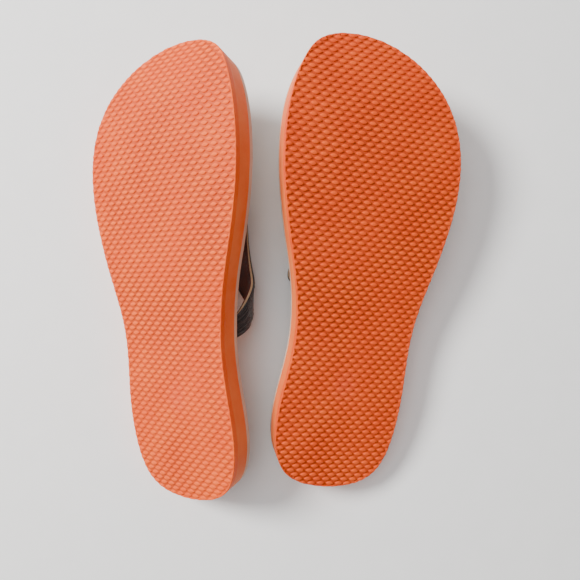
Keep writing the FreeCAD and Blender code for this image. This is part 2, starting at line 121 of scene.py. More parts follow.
def spline(points, closed, steps):
    """Finely sampled cubic spline through points, with its running length."""
    points = np.asarray(points, dtype=float)
    if closed:
        points = np.vstack((points, points[:1]))
    chords = np.linalg.norm(np.diff(points, axis=0), axis=1)
    knots = np.concatenate(([0.0], np.cumsum(chords)))
    count = len(points)
    rises = np.diff(points, axis=0) / chords[:, None]
    system = np.zeros((count, count))
    target = np.zeros(points.shape)
    for index in range(1, count - 1):
        before, after = chords[index - 1], chords[index]
        system[index, index - 1:index + 2] = before, 2.0 * (before + after), after
        target[index] = 6.0 * (rises[index] - rises[index - 1])
    if closed:
        system[0, [0, 1, -2]] = 2.0 * (chords[0] + chords[-1]), chords[0], chords[-1]
        target[0] = 6.0 * (rises[0] - rises[-1])
        system[-1, [0, -1]] = 1.0, -1.0
    else:
        system[0, 0] = system[-1, -1] = 1.0
    bends = np.linalg.solve(system, target)
    places = np.linspace(0.0, knots[-1], steps)
    spans = np.clip(np.searchsorted(knots, places, side="right") - 1, 0, count - 2)
    right = (places - knots[spans])[:, None]
    left = (knots[spans + 1] - places)[:, None]
    gap = chords[spans][:, None]
    line = (bends[spans] * left ** 3 + bends[spans + 1] * right ** 3) / (6.0 * gap)
    line += (points[spans] / gap - bends[spans] * gap / 6.0) * left
    line += (points[spans + 1] / gap - bends[spans + 1] * gap / 6.0) * right
    travel = np.concatenate(([0.0], np.cumsum(np.linalg.norm(np.diff(line, axis=0), axis=1))))
    return line, travel


def at_lengths(line, travel, lengths):
    return np.column_stack([np.interp(lengths, travel, column) for column in line.T])


def outline(medial, count):
    """Closed plan outline of a sole, as evenly spaced points."""
    tip = TOE_TIP
    stations = [
        (tip, HALF), (tip + 0.72 * (TOE_MEDIAL - tip), HALF - 7.5), (TOE_MEDIAL, HALF - 18.5),
        (BALL_MEDIAL, 73.0), (0.5 * (BALL_MEDIAL + WAIST_MEDIAL), 14.0),
        (WAIST_MEDIAL, -38.0), (HEEL_MEDIAL, -92.0), (0.74 * HEEL_MEDIAL, 8.5 - HALF),
        (0.0, -HALF), (-0.73 * HEEL_LATERAL, 7.5 - HALF), (-HEEL_LATERAL, -90.0),
        (-WAIST_LATERAL, -25.0), (-BALL_LATERAL, 50.0), (-TOE_LATERAL, HALF - 31.0),
        (-0.35 * TOE_LATERAL, HALF - 6.0),
    ]
    line, travel = spline([(medial * across, along) for across, along in stations], True, 6000)
    return at_lengths(line, travel, travel[-1] * np.arange(count) / count)


def rounded_rectangle(centre, across, along, radius, steps=5):
    """Closed loop of points with round corners."""
    loop = []
    for corner in range(4):
        turn = 0.5 * math.pi * corner + np.linspace(0.0, 0.5 * math.pi, steps)
        sign_x = 1.0 if corner in (0, 3) else -1.0
        sign_y = 1.0 if corner in (0, 1) else -1.0
        middle = (centre[0] + sign_x * (across / 2.0 - radius),
                  centre[1] + sign_y * (along / 2.0 - radius))
        loop += [(middle[0] + radius * math.cos(angle), middle[1] + radius * math.sin(angle))
                 for angle in turn]
    return np.array(loop)


def ring(centre, radius, steps=40):
    turn = 2.0 * math.pi * np.arange(steps) / steps
    return np.column_stack((centre[0] + radius * np.cos(turn),
                            centre[1] + radius * np.sin(turn)))


def inset(loop, distance):
    """Closed loop moved towards its own inside by a distance, one number or one per point."""
    ahead = np.roll(loop, -1, axis=0) - np.roll(loop, 1, axis=0)
    normal = np.column_stack((ahead[:, 1], -ahead[:, 0]))
    normal /= np.linalg.norm(normal, axis=1)[:, None]
    outward = np.sign(np.sum(normal * (loop - loop.mean(axis=0))))
    return loop - outward * normal * np.reshape(distance, (-1, 1))


def inside(points, loop):
    """Which points lie inside a closed loop."""
    hits = np.zeros(len(points), dtype=bool)
    following = np.roll(loop, -1, axis=0)
    for (ax, ay), (bx, by) in zip(loop, following):
        if ay != by:
            crosses = (points[:, 1] < ay) != (points[:, 1] < by)
            hits ^= crosses & (points[:, 0] < ax + (points[:, 1] - ay) * (bx - ax) / (by - ay))
    return hits


# ---------------------------------------------------------------- a sandal in the frame


class Sandal:
    """Where one sandal lies, read from the frame through the disc under its toe post."""

    def __init__(self, name):
        self.name = name
        self.medial = MEDIAL[name]
        self.body = name + "_sandal"
        roll, pitch, yaw, self.lean = LYING[name]
        turn = (Matrix.Rotation(math.radians(yaw), 3, "Z")
                @ Matrix.Rotation(math.radians(pitch), 3, "X")
                @ Matrix.Rotation(math.radians(self.medial * roll), 3, "Y")
                @ Matrix.Rotation(math.pi, 3, "Y"))
        self.turn = np.array(turn)
        self.post = np.array((self.medial * POST_ACROSS, POST_ALONG + SADDLE_LENGTH / 2.0))
        self.disc_top = layer_height(self.post[1] - DISC_DIAMETER / 2.0,
                                     OUTSOLE + MIDSOLE) - CLEAR
        disc = np.array((*self.post, self.disc_top - PLUG_THICKNESS / 2.0))
        low, high = (np.array(corner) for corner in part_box(name + "_toe_post_disc"))
        self.shift = (low + high) / 2.0 - self.turn @ disc * MM
        self.up = self.turn[2]

    def place(self, points):
        """Worn millimetres to the frame's metres."""
        return np.asarray(points) @ self.turn.T * MM + self.shift

    def clearance(self, points):
        """Height above the floor, in millimetres."""
        return points @ self.up + self.shift[2] / MM


class Mesh:
    """Points, faces and per-point coordinates for the materials, gathered piece by piece."""

    def __init__(self):
        self.points = []
        self.faces = []
        self.coords = []
        self.marks = []

    def add(self, points, coords=None, marks=None):
        """Add points and return the number of the first."""
        first = len(self.points)
        self.points += [tuple(point) for point in points]
        self.coords += [tuple(place) for place in (points if coords is None else coords)]
        self.marks += [0.0] * len(points) if marks is None else list(marks)
        return first

    def grid(self, first, rows, columns, closed=True):
        """Quads between rows of points that were added one row after another."""
        for row in range(rows - 1):
            for column in range(columns if closed else columns - 1):
                right = (column + 1) % columns
                start = first + row * columns
                self.faces.append((start + column, start + right,
                                   start + columns + right, start + columns + column))

    def cap(self, first, count):
        self.faces.append(tuple(range(first, first + count)))

    def tube(self, rings, coords=None):
        """Closed tube through rings of points, capped at both ends."""
        count = len(rings[0])
        first = self.add([point for points in rings for point in points],
                         None if coords is None else [c for row in coords for c in row])
        self.grid(first, len(rings), count)
        self.cap(first, count)
        self.cap(first + (len(rings) - 1) * count, count)

    def finish(self, name, sandal, material, slot, replaced=(), crease=35.0):
        """Make the piece, facing outwards, riding on its sandal."""
        mesh = bpy.data.meshes.new(name)
        mesh.from_pydata(sandal.place(self.points).tolist(), [], self.faces)
        work = bmesh.new()
        work.from_mesh(mesh)
        bmesh.ops.recalc_face_normals(work, faces=work.faces)
        work.to_mesh(mesh)
        work.free()
        piece = bpy.data.objects.new(name, mesh)
        bpy.context.scene.collection.objects.link(piece)
        mesh.polygons.foreach_set("use_smooth", [True] * len(mesh.polygons))
        mesh.set_sharp_from_angle(angle=math.radians(crease))
        place = mesh.attributes.new("place", "FLOAT_VECTOR", "POINT")
        place.data.foreach_set("vector", np.asarray(self.coords, dtype=np.float32).ravel())
        mark = mesh.attributes.new("mark", "FLOAT", "POINT")
        mark.data.foreach_set("value", np.asarray(self.marks, dtype=np.float32))
        mesh.materials.append(material)
        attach(piece, sandal.body)
        if replaced:
            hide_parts(*replaced)


# ---------------------------------------------------------------- layers of the sole


def length_table():
    """Places along the sole against length measured over its bent underside."""
    along = np.linspace(-HALF - 2.0, HALF + 2.0, 1000)
    slope = ground_line(along)[1]
    arc = np.concatenate(([0.0], np.cumsum(np.diff(along) * np.hypot(1.0, slope[1:]))))
    return along, arc - np.interp(0.0, along, arc)


def pad_level(plan):
    """How high the tread stands, from 0 in the grooves to 1 on top of a pad."""
    arc = np.interp(plan[:, 1], *length_table())
    nearest = np.full(len(plan), 9.0)
    for shift in (0.0, 0.5):
        column = (plan[:, 0] / COLUMN - shift) % 1.0
        row = (arc / (2.0 * ROW) - shift) % 1.0
        across = (column - np.round(column)) * COLUMN
        along = (row - np.round(row)) * 2.0 * ROW
        nearest = np.minimum(nearest, np.abs(along) / PAD_HALF + (across / PAD_REACH) ** 2)
    level = np.clip((1.0 - nearest) / 0.45, 0.0, 1.0)
    return level * (2.0 - level)


def tread_detail(rim):
    """Rings of points around every pad, with the edges of the pads that the rim leaves whole."""
    rings = []
    for level, steps in ((1.0, 6), (0.78, 5), (0.55, 4)):
        way = np.linspace(-1.0, 1.0, steps + 1)
        x = PAD_REACH * math.sqrt(level) * way
        y = PAD_HALF * level * (1.0 - way ** 2)
        rings.append(np.column_stack((np.concatenate((x, x[-2:0:-1])),
                                      np.concatenate((y, -y[-2:0:-1])))))
    places, arcs = length_table()
    reach = int(60.0 / COLUMN) + 1
    rows = range(int(arcs[0] / ROW) - 1, int(arcs[-1] / ROW) + 2)
    loops = [pad + ((column + 0.5 * (row % 2)) * COLUMN, row * ROW)
             for row in rows for column in range(-reach, reach + 1) for pad in rings]
    plan = np.vstack(loops)
    plan[:, 1] = np.interp(plan[:, 1], arcs, places)
    kept = inside(plan, inset(rim, 0.25))
    points, edges, start = [], [], 0
    for loop in loops:
        size = len(loop)
        good = kept[start:start + size]
        if good.all():
            first = len(points)
            edges += [(first + index, first + (index + 1) % size) for index in range(size)]
        points += plan[start:start + size][good].tolist()
        start += size
    return points, edges


def plain_detail(rim, step=6.0):
    """Loose points all over a plain face, so that it follows the bend of the sole."""
    across, along = np.meshgrid(np.arange(-54.0, 54.1, 2.0 * step),
                                np.arange(-HALF, HALF + 0.1, step))
    plan = np.column_stack((across.ravel(), along.ravel()))
    return plan[inside(plan, inset(rim, 1.5))], []


def filled(loops, points, edges):
    """Triangles between a closed outer loop and its holes, through the detail points."""
    bounds, start = [], 0
    for loop in loops:
        size = len(loop)
        bounds += [(start + index, start + (index + 1) % size) for index in range(size)]
        start += size
    plan = np.vstack(list(loops) + ([np.asarray(points)] if len(points) else []))
    bounds += [(start + a, start + b) for a, b in edges]
    made = delaunay_2d_cdt([Vector(point) for point in plan], bounds, [], 0, 1e-6)
    found = np.array([tuple(point) for point in made[0]])
    triangles = np.array([face for face in made[2]])
    middles = found[triangles].mean(axis=1)
    keep = inside(middles, loops[0])
    for hole in loops[1:]:
        keep &= ~inside(middles, hole)
    return found, triangles[keep]


def unevenness(count, rows, depth):
    """Slow waves around a cut wall, a little different at every height."""
    turn = 2.0 * math.pi * np.arange(count) / count
    waves = np.zeros((rows, count))
    for repeats in (7, 12, 19, 31, 47):
        phase = RNG.uniform(0.0, 2.0 * math.pi) + np.cumsum(RNG.normal(0.0, 0.5, rows))
        waves += np.sin(repeats * turn[None, :] + phase[:, None]) * depth / 5.0
    return np.abs(waves)


def sole_sheet(rim, holes, lower, upper, rounds, tread=False, pockets=(), rough=0.0):
    """Closed bent sheet with walls, rounded rims, holes and pockets in its upper face."""
    sheet = Mesh()
    depth = TREAD_DEPTH if tread else 0.0
    rims = {0: [], 1: []}
    walls = []
    for number, loop in enumerate([rim] + list(holes)):
        inward = 1.0 if number == 0 else -1.0
        low_level = 0.45 * (1.0 - pad_level(loop)) if tread else np.zeros(len(loop))
        rows = [(rounds[0] * (1.0 - math.sin(turn)), lower + rounds[0] * (1.0 - math.cos(turn)))
                for turn in np.linspace(0.0, 0.5 * math.pi, 4)]
        straight = upper - lower - rounds[0] - rounds[1]
        rows += [(0.0, lower + rounds[0] + share * straight)
                 for share in np.linspace(0.0, 1.0, 7)[1:-1]]
        rows += [(rounds[1] * (1.0 - math.sin(turn)), upper - rounds[1] * (1.0 - math.cos(turn)))
                 for turn in np.linspace(0.5 * math.pi, 0.0, 4)]
        waves = unevenness(len(loop), len(rows), rough)
        first = len(sheet.points)
        for row, (distance, offset) in enumerate(rows):
            fade = max(0.0, 1.0 - (offset - lower) / 1.5)
            wave = waves[row] if distance == 0.0 else 0.5 * waves[row]
            plan = inset(loop, inward * (distance + wave))
            level = low_level * fade
            sheet.add(bend(plan, offset + depth * level), bend(loop, offset), level)
            if row == 0:
                rims[0].append(plan)
            elif row == len(rows) - 1:
                rims[1].append(plan)
        sheet.grid(first, len(rows), len(loop))
        walls.append((first, len(rows)))
    for side, offset in enumerate((lower, upper)):
        loops = list(rims[side])
        starts = [first + (0 if side == 0 else (rows - 1) * len(loop))
                  for (first, rows), loop in zip(walls, loops)]
        if side == 1:
            for loop, floor in pockets:
                starts.append(add_pocket(sheet, loop, upper, floor))
                loops.append(loop)
        detail = tread_detail(loops[0]) if tread and side == 0 else plain_detail(loops[0])
        clear = [~inside(np.reshape(detail[0], (-1, 2)), inset(loop, -1.0))
                 for loop in loops[1:]]
        if clear and not detail[1]:
            detail = (np.asarray(detail[0])[np.all(clear, axis=0)], [])
        plan, triangles = filled(loops, *detail)
        level = 1.0 - pad_level(plan) if tread and side == 0 else np.zeros(len(plan))
        used = sum(len(loop) for loop in loops)
        index_of = np.concatenate([start + np.arange(len(loop))
                                   for start, loop in zip(starts, loops)])
        shape = bend(plan[used:], offset + (depth * level[used:] if side == 0 else 0.0))
        extra = sheet.add(shape, None, level[used:])
        index_of = np.concatenate((index_of, extra + np.arange(len(plan) - used)))
        sheet.faces += [tuple(int(index_of[corner]) for corner in face) for face in triangles]
    return sheet


def add_pocket(sheet, loop, upper, floor):
    """Walls and floor of a pocket; returns the number of the first point of its mouth."""
    mouth = bend(loop, upper)
    bottom = np.column_stack((mouth[:, :2], np.full(len(loop), floor)))
    first = sheet.add(np.vstack((mouth, bottom)))
    sheet.grid(first, 2, len(loop))
    sheet.cap(first + len(loop), len(loop))
    return first


# ---------------------------------------------------------------- straps


def smooth_step(value):
    value = np.clip(value, 0.0, 1.0)
    return value * value * (3.0 - 2.0 * value)


def unit(vector):
    return vector / np.linalg.norm(vector)


# share of the way forward, of the way across, of the splay outwards, and of the rise
LEG_WAYS = {
    "medial": ((0.018, 0.0, 0.45, 0.20), (0.07, 0.0, 1.0, 0.42), (0.14, 0.0, 0.7, 0.66),
               (0.24, 0.22, 0.15, 0.84), (0.42, 0.42, 0.0, 0.97), (0.60, 0.57, 0.0, 1.0),
               (0.78, 0.79, 0.0, 0.84)),
    "lateral": ((0.018, 0.0, 0.28, 0.15), (0.07, 0.0, 1.0, 0.29), (0.15, 0.02, 0.85, 0.50),
                (0.27, 0.18, 0.20, 0.76), (0.42, 0.45, 0.0, 0.95), (0.60, 0.72, 0.0, 1.0),
                (0.78, 0.90, 0.0, 0.84)),
}


class StrapLeg:
    """One leg of the Y-shaped strap: its frames as it rests on the floor."""

    sections = 34
    crowding = 1.5
    softness = 1.5

    def __init__(self, sandal, name, rim):
        medial = sandal.medial
        self.sandal = sandal
        self.side = medial if name == "medial" else -medial
        splay = SPLAY[sandal.name, name]
        near = rim[(rim[:, 0] * self.side > 0.0) & (np.abs(rim[:, 1] - ANCHOR_ALONG) < 6.0)]
        near = near[np.argsort(near[:, 1])]
        edge = abs(np.interp(ANCHOR_ALONG, near[:, 1], near[:, 0]))
        self.base = layer_height(ANCHOR_ALONG, SOLE)
        self.anchor = np.array((self.side * (edge - ANCHOR_INSET - STRAP), ANCHOR_ALONG,
                                self.base))
        neck = self.side * (NECK_WIDTH + CLEAR) / 2.0
        self.end = np.array((medial * POST_ACROSS + neck, POST_ALONG, self.base + POST_HEIGHT))
        span, reach = (self.end - self.anchor)[:2]
        slot = FOOTBED + CLEAR
        points = [self.anchor - (0.0, 0.0, slot), self.anchor]
        for forward, across, outwards, up in LEG_WAYS[name]:
            leaning = 1.4 * smooth_step((forward - 0.05) / 0.5) * (1.0 - forward)
            sideways = (across * span + self.side * outwards * splay
                        - medial * leaning * sandal.lean)
            points.append(self.anchor + (sideways, forward * reach, up * STRAP_RISE))
        points += [self.end + (0.0, -8.0, 1.2), self.end]
        line, travel = spline(points, False, 4000)
        self.length = travel[-1]
        self.start = slot / self.length
        self.shares = (np.arange(self.sections) / (self.sections - 1.0)) ** self.crowding
        self.settle(at_lengths(line, travel, self.shares * self.length))

    def settle(self, free):
        """Press the free centre line onto the floor and turn its outer face to it."""
        points, normals = [], []
        for share, point in zip(self.shares, free):
            sink = 36.0 * smooth_step((share - 0.3) / 0.7) - 6.0
            heart = np.array((self.end[0] * 0.6, point[1], self.base - sink))
            normal = unit(point - heart)
            if share < 2.0 * self.start:
                normal = np.array((self.side, 0.0, 0.0))
            load = 0.0
            if share > self.start:
                height = float(self.sandal.clearance(point))
                spare = min((height - STRAP - CLEAR) / self.softness, 60.0)
                eased = self.softness * math.log1p(math.exp(spare))
                load = 1.0 / (1.0 + math.exp(spare))
                point = point + self.sandal.up * (STRAP + CLEAR + eased - height)
            points.append(point)
            normals.append(unit(normal * (1.0 - load) - self.sandal.up * load))
        frames = []
        last = len(points) - 1
        for index, point in enumerate(points):
            tangent = unit(points[min(index + 1, last)] - points[max(index - 1, 0)])
            if index == last:
                tangent = np.array((0.0, 1.0, 0.0))
            if self.shares[index] < self.start:
                tangent = np.array((0.0, 0.0, 1.0))
            across = unit(np.cross(tangent, normals[index]))
            twist = smooth_step((self.shares[index] - self.start) / TWIST_SHARE)
            across = unit(np.array((0.0, self.side, 0.0)) * (1.0 - twist) + across * twist)
            frames.append(np.concatenate((point, unit(np.cross(across, tangent)), across)))
        self.frames = np.array(frames)

    def frame(self, shares):
        """Point, outward normal and width direction at any shares, smoothly in between."""
        places = np.clip(shares, 0.0, 1.0) ** (1.0 / self.crowding) * (self.sections - 1.0)
        first = np.clip(places.astype(int), 0, self.sections - 2)
        way = (places - first)[:, None]
        rows = [self.frames[np.clip(first + step, 0, self.sections - 1)]
                for step in (-1, 0, 1, 2)]
        mixed = 0.5 * (2.0 * rows[1] + (rows[2] - rows[0]) * way
                       + (2.0 * rows[0] - 5.0 * rows[1] + 4.0 * rows[2] - rows[3]) * way ** 2
                       + (3.0 * rows[1] - 3.0 * rows[2] + rows[3] - rows[0]) * way ** 3)
        normal = mixed[:, 3:6] / np.linalg.norm(mixed[:, 3:6], axis=1)[:, None]
        across = mixed[:, 6:9] / np.linalg.norm(mixed[:, 6:9], axis=1)[:, None]
        return mixed[:, :3], normal, across

    def half_width(self, shares):
        widened = FOOT_WIDTH + (FULL_WIDTH - FOOT_WIDTH) * smooth_step((shares - 0.06) / 0.20)
        return 0.5 * (widened
                      + (NECK_WIDTH - FULL_WIDTH) * smooth_step((shares - 0.52) / 0.38))

    def gather(self, shares):
        first = 2.0 * self.start
        within = (shares - first) / (GATHER_END - first)
        return GATHER_BULGE * np.sin(math.pi * np.clip(within, 0.0, 1.0))

    def surface(self, shares, across, height):
        """Points at a share of the length, a distance across and a height over the lining."""
        shares, across, height = np.broadcast_arrays(shares, across, height)
        point, normal, sideways = self.frame(shares.ravel())
        spots = (point + sideways * across.ravel()[:, None]
                 + normal * height.ravel()[:, None])
        under = STRAP + np.minimum(self.gather(shares.ravel()), GATHER_BULGE / 4.0)
        needed = np.maximum(under - height.ravel(), 0.04)
        lift = np.maximum(0.0, needed - self.sandal.clearance(spots))
        return spots + self.sandal.up * lift[:, None]

    def band(self, name, inner, outer, material, slot, bulge=0.0, edge=0.0, replaced=()):
        """One layer with rounded edges; edge is how far it stands out sideways."""
        mesh = Mesh()
        shares = np.linspace(0.0, 1.0, 150) ** 1.25
        half = self.half_width(shares) + edge
        radius = 0.42 * (outer - inner)
        flat_share = 0.85

        def rim_height(angle):
            """Height over the lining at an angle around the band's rounded edge."""
            return (0.5 * (inner + outer)
                    + (0.5 * (outer - inner) - radius) * np.sign(angle)
                    + radius * math.sin(angle))

        across, height = [], []
        for angle in np.linspace(-0.5 * math.pi, 0.5 * math.pi, 7):
            across.append(half - radius + radius * math.cos(angle))
            height.append(np.full(len(shares), rim_height(angle)))
        for way in np.linspace(flat_share, -flat_share, 9):
            across.append((half - radius) * way)
            height.append(np.full(len(shares), outer + bulge * (1.0 - way * way)))
        for angle in np.linspace(0.5 * math.pi, -0.5 * math.pi, 7):
            across.append(-(half - radius + radius * math.cos(angle)))
            height.append(np.full(len(shares), rim_height(angle)))
        for way in np.linspace(-flat_share, flat_share, 9):
            across.append((half - radius) * way)
            height.append(np.full(len(shares), inner))
        across, height = np.array(across).T, np.array(height).T
        spots = self.surface(shares[:, None], across, height)
        rows, columns = across.shape
        places = np.column_stack((across.ravel(), np.repeat(shares * self.length, columns),
                                  height.ravel()))
        mesh.tube(spots.reshape(rows, columns, 3), places.reshape(rows, columns, 3))
        mesh.finish(name, self.sandal, material, slot, replaced)

    def gathers(self, name, material, slot, replaced):
        """Pleated fabric bunched on the outer face where the strap leaves its slot."""
        mesh = Mesh()
        first = 1.3 * self.start
        rows, steps, pleat_ends = 60, 72, 8
        shares = np.linspace(first, GATHER_END * 1.12, rows)
        swell = np.sin(math.pi * np.linspace(0.02, 0.98, rows)) ** 0.6
        half = self.half_width(shares) + 0.15 + 0.35 * swell
        turn = np.linspace(0.0, 2.0 * math.pi, steps, endpoint=False)
        pleats = np.cumsum(RNG.uniform(0.7, 1.3, pleat_ends))
        wander = np.cumsum(RNG.normal(0.0, 0.16, rows))
        across, height = [], []
        for row in range(rows):
            way = np.cos(turn)
            outer = np.sin(turn) > 0.0
            pleat = np.interp(way, np.linspace(-1.0, 1.0, pleat_ends), pleats)
            phase = pleat * 2.0 * math.pi
            ridge = 0.5 + 0.5 * np.cos(phase * 0.8 + wander[row])
            top = GATHER_BULGE * 0.95 * swell[row] * (0.62 + 0.38 * ridge)
            lift = np.abs(np.sin(turn)) ** 0.45
            across.append(half[row] * np.sign(way) * np.abs(way) ** 0.75)
            height.append(np.where(outer, STRAP - 0.4 + (top + 0.4) * lift, STRAP - 0.4 * lift
                                   - 0.4 * (1.0 - lift)))
        across, height = np.array(across), np.array(height)
        spots = self.surface(shares[:, None], across, height)
        places = np.column_stack((across.ravel(), np.repeat(shares * self.length, steps),
                                  height.ravel()))
        mesh.tube(spots.reshape(rows, steps, 3), places.reshape(rows, steps, 3))
        mesh.finish(name, self.sandal, material, slot, replaced, crease=60.0)

    def stitches(self, name, material, slot):
        """Two rows of thread along the strap, on both of its faces."""
        mesh = Mesh()
        pitch, stitch, inset_by = 3.3, 2.5, 1.5
        start, end = 0.15, 0.97
        count = int((end - start) * self.length / pitch)
        turn = np.linspace(0.0, 2.0 * math.pi, THREAD_STEPS, endpoint=False)
        way = np.linspace(0.0, 1.0, THREAD_STEPS)
        arch = np.sin(math.pi * way) ** 0.5
        for face, out in ((STRAP, 1.0), (0.0, -1.0)):
            for sign in (-1.0, 1.0):
                for number in range(count):
                    shares = start + (number * pitch + way * stitch) / self.length
                    middle = sign * (self.half_width(shares) - inset_by)
                    size = THREAD * (0.35 + 0.65 * arch)
                    across = middle[:, None] + size[:, None] * np.cos(turn)
                    height = (face + out * (0.16 * arch - 0.10)[:, None]
                              + size[:, None] * np.sin(turn))
                    spots = self.surface(shares[:, None], across, height)
                    mesh.tube(spots.reshape(THREAD_STEPS, THREAD_STEPS, 3))
        mesh.finish(name, self.sandal, material, slot)


# ---------------------------------------------------------------- toe post and saddle


def toe_post(sandal, bottom, top, material):
    """Fabric wound around the cord that passes between the toes."""
    mesh = Mesh()
    rows, steps = 90, 48
    turn = 2.0 * math.pi * np.arange(steps) / steps
    rings, coords = [], []
    for row in range(rows):
        way = row / (rows - 1.0)
        height = bottom + way * (top - bottom)
        wind = np.sin(2.0 * math.pi * height / 1.15 + turn)
        ends = max(0.0, 1.0 - min(way, 1.0 - way) / 0.07)
        radius = POST_DIAMETER / 2.0 - 0.22 + 0.12 * wind + 0.1 * ends ** 2
        rings.append(np.column_stack((sandal.post[0] + radius * np.cos(turn),
                                      sandal.post[1] + radius * np.sin(turn),
                                      np.full(steps, height))))
        coords.append(np.column_stack((turn * POST_DIAMETER / 2.0, np.full(steps, height),
                                       radius)))
    mesh.tube(rings, coords)
    mesh.finish(sandal.name + "_toe_post_cord", sandal, material, "toe_post_cord",
                       (sandal.name + "_toe_post",))


def saddle(sandal, bottom, material):
    """Folded pad that joins both legs over the toe post."""
    mesh = Mesh()
    width = 2.0 * NECK_WIDTH + CLEAR
    centre = (sandal.post[0], POST_ALONG + SADDLE_LENGTH / 2.0)
    loop = rounded_rectangle(centre, width, SADDLE_LENGTH, 1.2, 9)
    front = loop[:, 1] > centre[1]
    corner = rounded_rectangle(centre, width, SADDLE_LENGTH, SADDLE_CORNER, 9)
    loop[front] = corner[front]
    top = bottom + STRAP
    rings = []
    for distance, height in ((7.0, bottom), (2.0, bottom), (0.6, bottom), (0.18, bottom + 0.18),
                             (0.0, bottom + 0.6), (0.1, bottom + 1.2), (0.0, bottom + 1.8),
                             (0.0, top - 0.7), (0.25, top - 0.22), (0.8, top),
                             (2.2, top + 0.12), (4.2, top + 0.18)):
        scale = 1.0 - distance / np.array((width, SADDLE_LENGTH)) * 2.0
        scale = np.maximum(scale, 0.06)
        rings.append(np.column_stack(((loop - centre) * scale + centre,
                                      np.full(len(loop), height))))
    mesh.tube(rings)
    mesh.finish(sandal.name + "_strap_saddle_pad", sandal, material, "strap_upper",
                       (sandal.name + "_strap_saddle",))


def saddle_stitches(sandal, bottom, material):
    """Thread around the saddle's outer face."""
    mesh = Mesh()
    centre = np.array((sandal.post[0], POST_ALONG + SADDLE_LENGTH / 2.0))
    loop = rounded_rectangle(centre, 2.0 * NECK_WIDTH - 3.2, SADDLE_LENGTH - 3.2, 1.4, 9)
    closed = np.vstack((loop, loop[:1]))
    travel = np.concatenate(([0.0], np.cumsum(np.linalg.norm(np.diff(closed, axis=0),
                                                             axis=1))))
    count = int(travel[-1] / 2.4)
    turn = np.linspace(0.0, 2.0 * math.pi, THREAD_STEPS, endpoint=False)
    way = np.linspace(0.0, 1.0, THREAD_STEPS)
    arch = np.sin(math.pi * way) ** 0.5
    for number in range(count):
        spots = at_lengths(closed, travel, (number + 0.72 * way) * travel[-1] / count)
        ahead = np.gradient(spots, axis=0)
        ahead /= np.linalg.norm(ahead, axis=1)[:, None]
        beside = np.column_stack((ahead[:, 1], -ahead[:, 0]))
        rings = []
        for step in range(THREAD_STEPS):
            size = THREAD * (0.35 + 0.65 * arch[step])
            height = bottom + STRAP + 0.14 * arch[step] - 0.02 + size * np.sin(turn)
            side = spots[step] + beside[step] * (size * np.cos(turn))[:, None]
            rings.append(np.column_stack((side, height)))
        mesh.tube(rings)
    mesh.finish(sandal.name + "_strap_saddle_stitches", sandal, material, "strap_upper")


# ---------------------------------------------------------------- materials


def srgb(red, green, blue):
    """Display colour (0 to 255) as the linear colour that shaders take."""
    return tuple((channel / 255.0 / 12.92 if channel < 10.4
                  else ((channel / 255.0 + 0.055) / 1.055) ** 2.4)
                 for channel in (red, green, blue)) + (1.0,)


